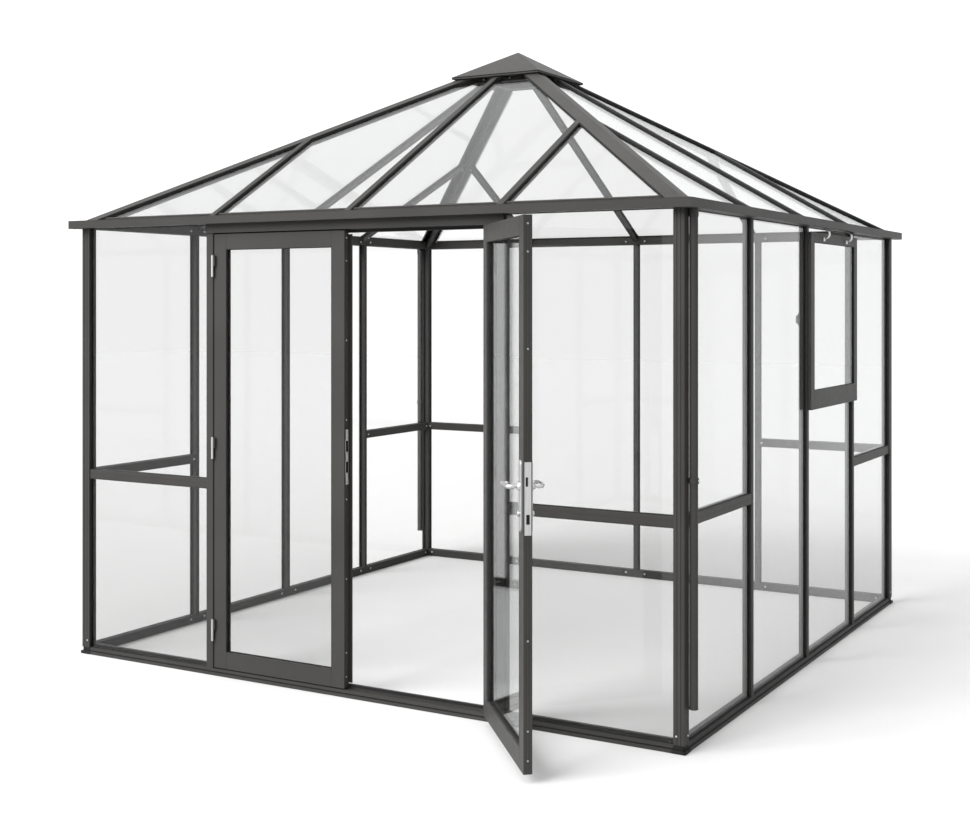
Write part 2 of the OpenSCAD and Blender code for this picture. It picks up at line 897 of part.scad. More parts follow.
base_front();
base_rail(RIGHT);  // base_right
base_rail(BACK);  // base_back
base_rail(LEFT);  // base_left
corner_posts();
wall_bars();
middle_rails();
eave_plates();
gutter(FRONT);  // gutter_front
gutter(RIGHT);  // gutter_right
gutter(BACK);  // gutter_back
gutter(LEFT);  // gutter_left
hip_rafters();
main_rafters();
jack_rafters();
apex_ring();
roof_collar();
roof_cap();
roof_panes(FRONT);  // front_roof_glass
roof_panes(RIGHT);  // right_roof_glass
roof_panes(BACK);  // back_roof_glass
roof_panes(LEFT);  // left_roof_glass
front_wall_glass();
right_wall_glass();
back_wall_glass();
left_wall_glass();
window_cill();
sash_stiles();
sash_rails();
sash_glass();
window_hinges();
window_handle();
downpipes();
pipe_clips();
door_jambs();
door_header();
door_threshold();
frame_hinges();
left_leaf_stiles();
left_leaf_rails();
left_leaf_glass();
left_leaf_strip();
left_leaf_hinges();
right_leaf_stiles();
right_leaf_rails();
right_leaf_glass();
right_leaf_handles();
right_leaf_hinges();
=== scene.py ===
# The looks of a square glass greenhouse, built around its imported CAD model.
# Metres, in the model's own frame: +Z up, the doorway faces -Y and the origin is on the
# ground in the middle of the doorway. A piece of a wall is drawn with x along the wall,
# r outward from the middle of the plan and z up, and then turned on to its wall.

import json
import math

import bmesh
import bpy
from mathutils import Matrix, Vector

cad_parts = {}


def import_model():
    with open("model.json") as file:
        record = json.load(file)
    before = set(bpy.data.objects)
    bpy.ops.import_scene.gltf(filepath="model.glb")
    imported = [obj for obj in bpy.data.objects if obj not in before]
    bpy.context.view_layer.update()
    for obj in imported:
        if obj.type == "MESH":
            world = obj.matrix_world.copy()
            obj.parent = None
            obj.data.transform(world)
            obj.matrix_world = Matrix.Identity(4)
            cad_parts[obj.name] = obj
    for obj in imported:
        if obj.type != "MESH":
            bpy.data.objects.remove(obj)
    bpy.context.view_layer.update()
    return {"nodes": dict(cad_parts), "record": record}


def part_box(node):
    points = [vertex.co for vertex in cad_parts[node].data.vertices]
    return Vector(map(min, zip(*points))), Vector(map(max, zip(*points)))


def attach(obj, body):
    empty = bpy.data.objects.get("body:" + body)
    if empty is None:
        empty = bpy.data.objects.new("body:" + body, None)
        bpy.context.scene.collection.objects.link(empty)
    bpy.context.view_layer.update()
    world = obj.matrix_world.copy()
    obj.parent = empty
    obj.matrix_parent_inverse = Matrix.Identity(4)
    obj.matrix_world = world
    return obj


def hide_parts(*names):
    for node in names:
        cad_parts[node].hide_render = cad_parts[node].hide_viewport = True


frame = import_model()


# --- sizes taken from the frame ---------------------------------------------

def low(node):
    """The low corner of a CAD node's box."""
    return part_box(node)[0]


def high(node):
    """The high corner of a CAD node's box."""
    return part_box(node)[1]


FRONT, RIGHT, REAR, LEFT = range(4)
WALLS = (FRONT, RIGHT, REAR, LEFT)
SIDES = (1, -1)

MID_Y = (low("roof_cap").y + high("roof_cap").y) / 2
BASE_R = high("base_right").x
FACE_R = high("corner_posts").x
PANE_R = high("right_wall_glass").x
PANE_BACK_R = low("right_wall_glass").x
INNER_R = low("window_cill").x
GUTTER_R = high("gutter_right").x
DRIP_R = high("right_roof_glass").x
BAY = BASE_R / 2
GLASS_T = PANE_R - PANE_BACK_R

FLANGE_Z = low("corner_posts").z
BASE_Z = high("base_right").z
RAIL_Z0 = low("middle_rails").z
RAIL_Z1 = high("middle_rails").z
RAIL_MID_Z = (RAIL_Z0 + RAIL_Z1) / 2
EAVE_Z = low("eave_plates").z
PLATE_Z = high("eave_plates").z
GUTTER_Z = high("gutter_right").z

# Sections of the bars, which no box in the frame gives by itself
CAP_W = 0.030
BAR_W = 0.024
ROOF_PITCH = math.radians(30)
CAP_TOP = GLASS_T + FACE_R - PANE_R
JACK_X = 0.720
HIP_WING = 0.046
RING_R = high("apex_ring").x
COLLAR_R = high("roof_collar").x
ROOF_CAP_R = high("roof_cap").x

JAMB_X = high("door_jambs").x
JAMB_R = -(low("door_jambs").y - MID_Y)
HEADER_STEP = 0.014
HEADER_Z = low("door_header").z + HEADER_STEP
HEADER_R = -(low("door_header").y - MID_Y)
STOP_LAP = 0.001
STOP_R = INNER_R + STOP_LAP
STOP_X = 0.692
THRESHOLD_Z = high("door_threshold").z

JOINTS = {joint["name"]: joint for joint in frame["record"]["behaviour"]["joints"]}
HINGE = JOINTS["right_leaf_hinge"]
HINGE_AXIS = Vector((HINGE["pos_m"][0], HINGE["pos_m"][1], 0.0))
OPEN_ANGLE = math.radians(-HINGE["range_deg"][0])
LEAF_Z0 = low("left_leaf_stiles").z
LEAF_Z1 = high("left_leaf_stiles").z
LEAF_R0 = -(high("left_leaf_stiles").y - MID_Y)
LEAF_R1 = -(low("left_leaf_stiles").y - MID_Y)
LEAF_HINGE_X = -low("left_leaf_stiles").x
LEFT_MEET_X = -high("left_leaf_stiles").x
# The right leaf is drawn closed, where it ends this much nearer to the middle
MEET_SHIFT = 0.010
RIGHT_MEET_X = LEFT_MEET_X - MEET_SHIFT
LEAF_PANE_R0 = -(high("left_leaf_glass").y - MID_Y)
LEAF_PANE_R1 = -(low("left_leaf_glass").y - MID_Y)
PANE_LAP = 0.007
STILE_W = low("left_leaf_glass").x + LEAF_HINGE_X + PANE_LAP
LEAF_GLASS_Z0 = low("left_leaf_glass").z + PANE_LAP
LEAF_GLASS_Z1 = high("left_leaf_glass").z - PANE_LAP
LEAF_T = LEAF_R1 - LEAF_R0
KNUCKLE_R = 0.0055
HINGE_H = 0.091
HINGE_LOW = low("frame_hinges").z
HINGE_HIGH = high("left_leaf_hinges").z - HINGE_H
HINGE_HEIGHTS = (HINGE_LOW, (HINGE_LOW + HINGE_HIGH) / 2, HINGE_HIGH)
LEVER_Z = 1.000

SASH_Z0 = low("sash_stiles").z
SASH_Z1 = high("sash_stiles").z
SASH_R = high("sash_stiles").x
CILL_Z0 = low("window_cill").z
CILL_Z1 = high("window_cill").z
SASH_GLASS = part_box("sash_glass")

PIPE_SHIFT = 0.001
PIPE_AXIS_R = (FACE_R + GUTTER_R) / 2 - PIPE_SHIFT
PIPE_R = high("downpipes").x - PIPE_AXIS_R
PIPE_TOP = high("downpipes").z
PIPE_FOOT = low("downpipes").z


# --- placing ------------------------------------------------------------------

def on_wall(i):
    """From (x along the wall, -r outward, z) on the front wall to wall i."""
    return Matrix.Translation((0, MID_Y, 0)) @ Matrix.Rotation(math.radians(90 * i), 4, "Z")


def on_roof(i):
    """From (x, distance up the slope, height square to the glass) to roof face i."""
    foot = Matrix.Translation((0, -INNER_R, PLATE_Z))
    return on_wall(i) @ foot @ Matrix.Rotation(ROOF_PITCH, 4, "X")


def on_leaf(side):
    """From the right leaf drawn closed to the open right leaf (1) or the left leaf (-1)."""
    if side < 0:
        return Matrix.Translation((0, MID_Y, 0)) @ Matrix.Diagonal((-1, 1, 1, 1))
    swing = Matrix.Translation(HINGE_AXIS) @ Matrix.Rotation(OPEN_ANGLE, 4, "Z")
    return swing @ Matrix.Translation(-HINGE_AXIS) @ Matrix.Translation((0, MID_Y, 0))


def mirrored(place, side):
    """The same place for side 1, or with x turned round for side -1."""
    return place @ Matrix.Diagonal((side, 1, 1, 1))


def leaf_body(side):
    """The body that the right leaf (1) or the left leaf (-1) rides on."""
    return "right_leaf" if side > 0 else "left_leaf"


def leaf_name(side, what):
    """The name of a piece of one leaf."""
    return f"{leaf_body(side)}_{what}"


def meet_x(side):
    """The free edge of a leaf drawn closed."""
    return RIGHT_MEET_X if side > 0 else LEFT_MEET_X


def slope_at(r, height):
    """Distance up the slope of a point of the front roof face at plan distance r."""
    return (INNER_R - r - height * math.sin(ROOF_PITCH)) / math.cos(ROOF_PITCH)


# --- building meshes --------------------------------------------------------

class Solid:
    """Collects the closed shells of one piece."""

    def __init__(self):
        self.bm = bmesh.new()

    def shell(self, rings, place):
        """Skins rings of points, each with as many points, and caps the two ends."""
        made = [[self.bm.verts.new(place @ Vector(p)) for p in ring] for ring in rings]
        count = len(made[0])
        for a, b in zip(made, made[1:]):
            for k in range(count):
                n = (k + 1) % count
                self.bm.faces.new((a[k], a[n], b[n], b[k]))
        self.bm.faces.new(made[0])
        self.bm.faces.new(made[-1])

    def box(self, place, x, r, z):
        """A block in wall coordinates; x, r and z are (low, high) pairs."""
        rings = [[(a, -b, c) for a, b in ((x[0], r[0]), (x[1], r[0]), (x[1], r[1]), (x[0], r[1]))]
                 for c in z]
        self.shell(rings, place)

    def slab(self, plane, x, y, height):
        """A block on a plane; x, y and height are (low, high) pairs."""
        rings = [[(x[0], c, height[0]), (x[1], c, height[0]), (x[1], c, height[1]),
                  (x[0], c, height[1])] for c in y]
        self.shell(rings, plane)

    def strip(self, place, start, end, profile):
        """Sweeps a profile of (sideways to the left, height) points along a flat line."""
        a, b = Vector(start), Vector(end)
        along = (b - a).normalized()
        left = Vector((-along.y, along.x))
        rings = [[(p.x + left.x * s, p.y + left.y * s, h) for s, h in profile] for p in (a, b)]
        self.shell(rings, place)

    def turned(self, place, profile, sides=16):
        """Turns a profile of (radius, height) points about the local Z axis."""
        angles = [2 * math.pi * k / sides for k in range(sides)]
        rings = [[(radius * math.cos(t), radius * math.sin(t), height) for t in angles]
                 for radius, height in profile]
        self.shell(rings, place)

    def tube(self, place, points, radii, sides=16):
        """Sweeps a round section along a smooth path, with a radius at each point."""
        path = [Vector(p) for p in points]
        rings = []
        side = Vector((0, 0, 1))
        for k, point in enumerate(path):
            along = (path[min(k + 1, len(path) - 1)] - path[max(k - 1, 0)]).normalized()
            across = side.cross(along).normalized()
            up = along.cross(across)
            angles = [2 * math.pi * n / sides for n in range(sides)]
            rings.append([point + (across * math.cos(t) + up * math.sin(t)) * radii[k]
                          for t in angles])
        self.shell(rings, place)

    def piece(self, name, material, body="frame", bevel=0.0, smooth=False, replaces=()):
        """Makes the object, gives it its material and lets it ride on its body."""
        bmesh.ops.recalc_face_normals(self.bm, faces=self.bm.faces)
        mesh = bpy.data.meshes.new(name)
        self.bm.to_mesh(mesh)
        self.bm.free()
        obj = bpy.data.objects.new(name, mesh)
        bpy.context.scene.collection.objects.link(obj)
        mesh.materials.append(material)
        if bevel:
            edge = obj.modifiers.new("edges", "BEVEL")
            edge.width = bevel
            edge.segments = 2
            edge.limit_method = "ANGLE"
        if smooth:
            mesh.shade_smooth()
        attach(obj, body)
        for node in replaces:
            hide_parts(node)
        return obj


def arc(centre, radius, start, end, steps):
    """Points on an arc in a plane, angles in degrees."""
    angles = [math.radians(start + (end - start) * k / steps) for k in range(steps + 1)]
    return [(centre[0] + radius * math.cos(t), centre[1] + radius * math.sin(t)) for t in angles]


# --- materials ----------------------------------------------------------------


class Nodes:
    """Short calls for a material's node tree."""

    def __init__(self, name):
        self.material = bpy.data.materials.new(name)
        self.material.use_nodes = True
        self.tree = self.material.node_tree
        self.shader = self.tree.nodes["Principled BSDF"]
        self.output = self.tree.nodes["Material Output"]
        self.place = self.add("ShaderNodeTexCoord").outputs["Object"]

    def add(self, kind):
        """A new node."""
        return self.tree.nodes.new(kind)

    def link(self, source, target):
        """Joins an output to an input."""
        self.tree.links.new(source, target)

    def noise(self, scale, detail=2.0, stretch=None):
        """A noise value, with its lines drawn out where stretch is small."""
        node = self.add("ShaderNodeTexNoise")
        node.inputs["Scale"].default_value = scale
        node.inputs["Detail"].default_value = detail
        if stretch:
            mapping = self.add("ShaderNodeMapping")
            mapping.inputs["Scale"].default_value = stretch
            self.link(self.place, mapping.inputs["Vector"])
            self.link(mapping.outputs["Vector"], node.inputs["Vector"])
        else:
            self.link(self.place, node.inputs["Vector"])
        return node.outputs["Fac"]

    def ramp(self, source, low_pos, low_col, high_pos, high_col):
        """A colour between two stops."""
        node = self.add("ShaderNodeValToRGB")
        node.color_ramp.elements[0].position = low_pos
        node.color_ramp.elements[0].color = (*low_col, 1)
        node.color_ramp.elements[1].position = high_pos
        node.color_ramp.elements[1].color = (*high_col, 1)
        self.link(source, node.inputs["Fac"])
        return node.outputs["Color"]

    def span(self, source, to_low, to_high, from_low=0.0, from_high=1.0):
        """A value mapped from one range to another."""
        node = self.add("ShaderNodeMapRange")
        node.inputs["From Min"].default_value = from_low
        node.inputs["From Max"].default_value = from_high
        node.inputs["To Min"].default_value = to_low
        node.inputs["To Max"].default_value = to_high
        self.link(source, node.inputs["Value"])
        return node.outputs["Result"]

    def bump(self, source, strength, distance):
        """Fine relief on the surface."""
        node = self.add("ShaderNodeBump")
        node.inputs["Strength"].default_value = strength
        node.inputs["Distance"].default_value = distance
        self.link(source, node.inputs["Height"])
        self.link(node.outputs["Normal"], self.shader.inputs["Normal"])


def grey(value, warm=0.0):
    """A linear grey; warm shifts it a little from blue to red."""
    return (value * (1 + warm), value, value * (1 - 1.3 * warm))


def powder_coat(name, shade):
    """Fine-textured dark powder coat on aluminium."""
    n = Nodes(name)
    cloud = n.noise(2.3, 3.0)
    n.link(n.ramp(cloud, 0.35, grey(shade * 0.90, 0.03), 0.65, grey(shade * 1.10, 0.03)),
           n.shader.inputs["Base Color"])
    n.link(n.span(n.noise(38.0, 2.0), 0.40, 0.52), n.shader.inputs["Roughness"])
    n.bump(n.noise(1400.0, 2.0), 0.25, 0.0002)
    n.shader.inputs["Specular IOR Level"].default_value = 0.10
    return n.material


def rubber(name, shade):
    """Matt dark rubber."""
    n = Nodes(name)
    n.link(n.ramp(n.noise(60.0), 0.3, grey(shade * 0.7), 0.7, grey(shade * 1.3)),
           n.shader.inputs["Base Color"])
    n.link(n.span(n.noise(220.0), 0.62, 0.78), n.shader.inputs["Roughness"])
    n.bump(n.noise(900.0), 0.2, 0.0002)
    n.shader.inputs["Specular IOR Level"].default_value = 0.2
    return n.material


def brushed_steel(name, shade, along):
    """Satin stainless steel; its brush lines run where along is small."""
    n = Nodes(name)
    lines = n.noise(160.0, 4.0, along)
    n.link(n.ramp(lines, 0.3, grey(shade * 0.86), 0.7, grey(shade)), n.shader.inputs["Base Color"])
    n.link(n.span(lines, 0.28, 0.44), n.shader.inputs["Roughness"])
    n.bump(lines, 0.12, 0.0002)
    n.shader.inputs["Metallic"].default_value = 1.0
    return n.material


def clear_glass(name):
    """Thin float glass: what is behind it shows through, with painted shade making it greyer near
    the ground.
    """
    n = Nodes(name)
    n.tree.nodes.remove(n.shader)
    # Painted reflection of the grey ground: the glass is tinted darker towards the bottom.
    ground_shade_z_low, ground_shade_z_high = 0.05, 1.05
    split = n.add("ShaderNodeSeparateXYZ")
    n.link(n.place, split.inputs["Vector"])
    ground_shade_height = n.span(split.outputs["Z"], 0.0, 1.0, ground_shade_z_low, ground_shade_z_high)
    tint = n.ramp(ground_shade_height, 0.0, (0.895, 0.895, 0.893), 1.0, (0.916, 0.917, 0.916))
    through = n.add("ShaderNodeBsdfTransparent")
    n.link(tint, through.inputs["Color"])
    gloss = n.add("ShaderNodeBsdfGlossy")
    gloss.inputs["Color"].default_value = (0.92, 0.93, 0.93, 1)
    n.link(n.span(n.noise(3.0), 0.01, 0.05), gloss.inputs["Roughness"])
    facing = n.add("ShaderNodeLayerWeight")
    facing.inputs["Blend"].default_value = 0.5
    grazing = n.add("ShaderNodeMath")
    grazing.operation = "POWER"
    grazing.inputs[1].default_value = 5.0
    n.link(facing.outputs["Facing"], grazing.inputs[0])
    mix = n.add("ShaderNodeMixShader")
    n.link(n.span(grazing.outputs["Value"], 0.02, 0.80), mix.inputs["Fac"])
    n.link(through.outputs["BSDF"], mix.inputs[1])
    n.link(gloss.outputs["BSDF"], mix.inputs[2])
    n.link(mix.outputs["Shader"], n.output.inputs["Surface"])
    return n.material


COAT = powder_coat("powder_coat", 0.030)
GLASS = clear_glass("clear_glass")
RUBBER = rubber("rubber", 0.006)
STEEL = brushed_steel("brushed_steel", 0.50, (1.0, 1.0, 0.06))
ZINC = brushed_steel("zinc", 0.50, (1.0, 1.0, 1.0))
# Black for the dark joints, and painted shade in the lock and strike plate slots.
BLACK = rubber("joint_and_slot_shade_black", 0.003)


def dress_cad_nodes():
    """Gives every CAD node the material of its slot in the record, except the hinges, which get
    the powder coat.
    """
    of_slot = {"frame": COAT, "glass": GLASS, "steel": STEEL, "gasket": RUBBER}
    for part in frame["record"]["subparts"]:
        mesh = frame["nodes"][part["node"]].data
        mesh.materials.clear()
        coated = part["node"].endswith("_hinges")
        mesh.materials.append(COAT if coated else of_slot[part["material_slot"]])


# --- glazing seals ------------------------------------------------------------

SEAL_W = 0.0022
SEAL_T = 0.0070


def seal_profile(out):
    """A lip that lies on the glass and rises to the bar; out is 1 or -1."""
    return [(0.0, 0.0), (0.0, SEAL_T * out), (SEAL_W * 0.35, SEAL_T * 0.9 * out),
            (SEAL_W * 0.7, SEAL_T * 0.3 * out), (SEAL_W, SEAL_T * 0.15 * out), (SEAL_W, 0.0)]


def upright_plane(place, r):
    """A plane of the wall glass, as (x along, z up, height outward)."""
    turn = Matrix(((1, 0, 0, 0), (0, 0, -1, -r), (0, 1, 0, 0), (0, 0, 0, 1)))
    return place @ turn


def seal_opening(solid, place, r, out, x, z):
    """Seals round the four edges of an upright pane's opening."""
    plane = upright_plane(place, r)
    corners = [(x[0], z[0]), (x[1], z[0]), (x[1], z[1]), (x[0], z[1])]
    for a, b in zip(corners, corners[1:] + corners[:1]):
        solid.strip(plane, a, b, seal_profile(out))


def end_bay_openings(x0):
    """The two openings between a bar or jamb and the corner post, as (x, z) spans."""
    return [((x0, INNER_R), (0.0, RAIL_Z0)), ((x0, INNER_R), (RAIL_Z1, EAVE_Z))]


def wall_seals(i):
    """Seals of one wall, outside and inside."""
    solid = Solid()
    for r, out, half, foot in ((PANE_R, 1, CAP_W / 2, FLANGE_Z),
                               (PANE_BACK_R, -1, BAR_W / 2, BASE_Z)):
        first = JAMB_X if i == FRONT else BAY + half
        for side in SIDES:
            place = mirrored(on_wall(i), side)
            for x, z in end_bay_openings(first):
                seal_opening(solid, place, r, out, x, (max(z[0], foot), z[1]))
            if i == FRONT:
                continue
            top = CILL_Z0 if (i == RIGHT and side > 0) else EAVE_Z
            seal_opening(solid, place, r, out, (half, BAY - half), (foot, top))
    solid.piece(f"wall_seals_{i}", RUBBER)


def roof_seals(i):
    """Seals beside the rafters and hips of one roof face, above and below the glass."""
    solid = Solid()
    for height, out, half, wing, eave, ring in (
            (GLASS_T, 1, CAP_W / 2, HIP_WING, DRIP_R, COLLAR_R),
            (0.0, -1, BAR_W / 2, BAR_W / 2, INNER_R, RING_R)):
        beside = wing * math.sqrt(2)
        inner, outer = JACK_X - half, JACK_X + half
        runs = (((half, ring), (half, eave)),
                ((inner, eave), (inner, inner + beside)),
                ((inner, inner + beside), (ring - beside, ring)),
                ((outer, outer + beside), (outer, eave)),
                ((eave - beside, eave), (outer, outer + beside)))
        for side in SIDES:
            place = mirrored(on_roof(i), side) @ Matrix.Translation((0, 0, height))
            for (x0, r0), (x1, r1) in runs:
                solid.strip(place, (x0, slope_at(r0, height)), (x1, slope_at(r1, height)),
                            seal_profile(out))
    solid.piece(f"roof_seals_{i}", RUBBER)


# --- walls ----------------------------------------------------------------------

CROWN_T = 0.0012
CROWN_EDGE = 0.0035
CROWN_GROOVE = 0.0012
POST_T = 0.0055


def crown_profile(width):
    """The raised middle of a bar's cap, with a groove down its centre line."""
    edge = width / 2 - CROWN_EDGE
    return [(-edge - CROWN_T, 0.0), (-edge, CROWN_T), (-CROWN_GROOVE, CROWN_T),
            (0.0, CROWN_T * 0.2), (CROWN_GROOVE, CROWN_T), (edge, CROWN_T),
            (edge + CROWN_T, 0.0)]


def bar_crowns():
    """Raised cover strips on the outer caps of the wall bars and the middle rails."""
    solid = Solid()
    for i in WALLS:
        plane = upright_plane(on_wall(i), FACE_R)
        for x in (-BAY, 0.0, BAY):
            top = SASH_Z0 if (i == RIGHT and x >= 0) else EAVE_Z
            if i != FRONT:
                solid.strip(plane, (x, FLANGE_Z), (x, top), crown_profile(CAP_W))
        first = JAMB_X if i == FRONT else BAY + CAP_W / 2
        for side in SIDES:
            solid.strip(upright_plane(mirrored(on_wall(i), side), FACE_R), (first, RAIL_MID_Z),
                        (INNER_R, RAIL_MID_Z), crown_profile(RAIL_Z1 - RAIL_Z0))
    solid.piece("bar_crowns", COAT)


def post_skins():
    """Three raised bands on each outer face of the corner posts, with grooves between."""
    solid = Solid()
    bands, groove, sunk = 3, 0.0018, 0.001
    width = FACE_R + POST_T - INNER_R
    band = (width - (bands - 1) * groove) / bands
    for i in WALLS:
        for side in SIDES:
            for k in range(bands):
                x0 = INNER_R + k * (band + groove)
                solid.box(mirrored(on_wall(i), side), (x0, x0 + band),
                          (FACE_R - sunk, FACE_R + POST_T), (FLANGE_Z, EAVE_Z))
    solid.piece("post_skins", COAT)


BASE_FOOT_Z = 0.0125


def base_trim():
    """Step along the base rail, with a dark joint above its foot."""
    solid = Solid()
    joint = Solid()
    step_t, step_z = 0.0015, (0.0165, 0.0285)
    joint_t, joint_z = 0.0008, (BASE_FOOT_Z, 0.0160)
    for i in WALLS:
        place = on_wall(i)
        solid.box(place, (-FACE_R, FACE_R), (FACE_R, FACE_R + step_t), step_z)
        joint.box(place, (-FACE_R, FACE_R), (FACE_R, FACE_R + joint_t), joint_z)
    solid.piece("base_trim", COAT)
    joint.piece("base_joint", BLACK)


def base_corners():
    """Moulded corner keys that join the base rails under the posts."""
    solid = Solid()
    proud = 0.0025
    lap = 0.002
    levels = ((BASE_R, 0.052, 0.006, (0.0, BASE_FOOT_Z)),
              (FACE_R, 0.040, 0.004, (BASE_FOOT_Z, FLANGE_Z + lap)))
    for i in WALLS:
        for side in SIDES:
            place = mirrored(on_wall(i), side)
            for face, reach, depth, z in levels:
                solid.box(place, (face - reach, face + proud), (face - depth, face + proud), z)
    solid.piece("base_corner_keys", RUBBER, bevel=0.001)


BOLT_R = 0.0055
SMALL_BOLT_R = 0.0040
SCREW_R = 0.0038
HEAD_HEIGHT = 0.75
# Outline of a domed head with a socket, as shares of its radius and its height
HEAD_OUTLINE = ((1.0, 0.0), (1.0, 0.4), (0.8, 0.85), (0.5, 1.0), (0.42, 1.0), (0.38, 0.35))


def bolt_head(solid, place, radius=BOLT_R):
    """A domed bolt head with a socket, standing on the local XY plane."""
    height = radius * HEAD_HEIGHT
    solid.turned(place, [(radius * a, height * b) for a, b in HEAD_OUTLINE], 14)


def facing_out(place, x, r, z):
    """A spot on an upright face, with local Z pointing outward."""
    return upright_plane(place, r) @ Matrix.Translation((x, z, 0))


def facing_in(place, x, r, z):
    """A spot on an upright face, with local Z pointing inward."""
    return facing_out(place, x, r, z) @ Matrix.Rotation(math.pi, 4, "X")


def wall_bolts():
    """Bolts of the base rail, the middle rails and the eave plates."""
    solid = Solid()
    base_z = 0.024
    plate_z = EAVE_Z + 0.018
    post_x, post_z = INNER_R + 0.012, 0.062
    for i in WALLS:
        for side in SIDES:
            place = mirrored(on_wall(i), side)
            for x, z in ((INNER_R - 0.018, RAIL_MID_Z), (BAY + 0.028, RAIL_MID_Z),
                         (INNER_R - 0.030, base_z)):
                bolt_head(solid, facing_in(place, x, INNER_R, z))
            bolt_head(solid, facing_out(place, post_x, FACE_R + POST_T, post_z), SMALL_BOLT_R)
            for x in (0.06, BAY - 0.05, BAY + 0.05):
                bolt_head(solid, facing_in(place, x, INNER_R, plate_z))
                if i != FRONT or x > BAY:
                    bolt_head(solid, facing_in(place, x, INNER_R, base_z))
    solid.piece("wall_bolts", ZINC)


# --- eave and roof ----------------------------------------------------------------

def gutter_lips():
    """A rolled bead along the gutter's rim and a thin lip on top of it."""
    solid = Solid()
    bead = 0.0035
    lip = 0.0030
    short = 0.0040
    outline = arc((GUTTER_R - lip - bead, GUTTER_Z - bead), bead, 0, 315, 7)
    rings = [[(end * (y - short), -y, z) for y, z in outline] for end in (-1, 1)]
    for i in WALLS:
        solid.shell(rings, on_wall(i))
        solid.box(on_wall(i), (-GUTTER_R, GUTTER_R), (GUTTER_R - lip, GUTTER_R),
                  (GUTTER_Z - 0.0005, GUTTER_Z + 0.0020))
    solid.piece("gutter_lips", COAT)


def gutter_corners():
    """Mitre plates under the gutter's corners."""
    solid = Solid()
    size, edge, thick = 0.040, 0.001, 0.0015
    span = (GUTTER_R - size, GUTTER_R - edge)
    for i in WALLS:
        solid.box(on_wall(i), span, span, (EAVE_Z - thick, EAVE_Z))
    solid.piece("gutter_corner_plates", COAT)


def eave_retainers():
    """Low strips across the foot of the roof glass, between the rafters."""
    solid = Solid()
    half, slant, height = 0.006, 0.001, 0.004
    spans = ((CAP_W / 2, JACK_X - CAP_W / 2),
             (JACK_X + CAP_W / 2, INNER_R - HIP_WING * math.sqrt(2)))
    v = slope_at(INNER_R, GLASS_T)
    profile = [(-half, 0.0), (-half + slant, height), (half - slant, height), (half, 0.0)]
    for i in WALLS:
        for side in SIDES:
            place = mirrored(on_roof(i), side) @ Matrix.Translation((0, 0, GLASS_T))
            for a, b in spans:
                solid.strip(place, (a, v), (b, v), profile)
    solid.piece("eave_retainers", COAT)


def rafter_crowns():
    """Raised cover strips on the caps of the rafters and hips."""
    solid = Solid()
    eave = slope_at(DRIP_R, CAP_TOP)
    hip = slope_at(JACK_X + HIP_WING * math.sqrt(2) + CAP_W / 2, CAP_TOP)
    ring = slope_at(COLLAR_R, CAP_TOP)
    for i in WALLS:
        place = on_roof(i) @ Matrix.Translation((0, 0, CAP_TOP))
        solid.strip(place, (0.0, eave), (0.0, ring), crown_profile(CAP_W))
        for side in SIDES:
            solid.strip(mirrored(place, side), (JACK_X, eave), (JACK_X, hip),
                        crown_profile(CAP_W))
            hip_crown(solid, mirrored(place, side))
    solid.piece("rafter_crowns", COAT)


def hip_crown(solid, place):
    """A raised band along one wing of a hip cap."""
    ridge, edge, slant = 0.008, 0.006, 0.0015
    inner, outer = ridge * math.sqrt(2), (HIP_WING - edge) * math.sqrt(2)
    rings = []
    for r in (COLLAR_R, DRIP_R):
        v = slope_at(r, CAP_TOP)
        rings.append([(r - outer, v, 0.0), (r - outer + slant, v, CROWN_T),
                      (r - inner - slant, v, CROWN_T), (r - inner, v, 0.0)])
    solid.shell(rings, place)


def roof_bolts():
    """Bolts where the jack rafters meet the hips, and on the apex ring."""
    solid = Solid()
    ring_z = low("apex_ring").z + 0.016
    rafter_depth = 0.020
    hip_r, plate_r, eave_r = JACK_X + 0.045, 1.415, 1.488
    flip = Matrix.Rotation(math.pi, 4, "X")
    for i in WALLS:
        for side in SIDES:
            ring = mirrored(on_wall(i), side)
            for x in (RING_R - 0.020, 0.028):
                bolt_head(solid, facing_out(ring, x, RING_R, ring_z))
            jack = mirrored(on_roof(i), side) @ Matrix.Translation((JACK_X, 0, 0))
            for r in (hip_r, plate_r):
                under = Matrix.Translation((0, slope_at(r, 0), -rafter_depth))
                bolt_head(solid, jack @ under @ flip)
            over = Matrix.Translation((0, slope_at(eave_r, 0), CAP_TOP + CROWN_T))
            bolt_head(solid, jack @ over, SMALL_BOLT_R)
    solid.piece("roof_bolts", ZINC)


def roof_cap_trim():
    """Folded hem round the roof cap and welted seams along its four hips."""
    hem = Solid()
    z = low("roof_cap").z
    sheet, below, above = 0.0016, 0.006, 0.004
    seam_r, tip_r = 0.0020, 0.0012
    for i in WALLS:
        hem.box(on_wall(i), (-ROOF_CAP_R, ROOF_CAP_R), (ROOF_CAP_R - sheet, ROOF_CAP_R),
                (z - below, z + above))
    apex = Vector((0, 0, high("roof_cap").z - tip_r))
    corner = ROOF_CAP_R - seam_r
    foot = Vector((corner, -corner, apex.z - ROOF_CAP_R * math.tan(ROOF_PITCH)))
    for i in WALLS:
        hem.tube(on_wall(i), [foot, foot.lerp(apex, 0.5), apex], [seam_r, seam_r, tip_r], 8)
    hem.piece("roof_cap_hem", COAT)


# --- downpipes ----------------------------------------------------------------------

def pipe_place(i):
    """The axis of a downpipe, on the right wall or the left wall."""
    near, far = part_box("downpipes")
    if i == RIGHT:
        return Matrix.Translation((far.x - PIPE_R, near.y + PIPE_R, 0))
    return Matrix.Translation((near.x + PIPE_R, far.y - PIPE_R, 0))


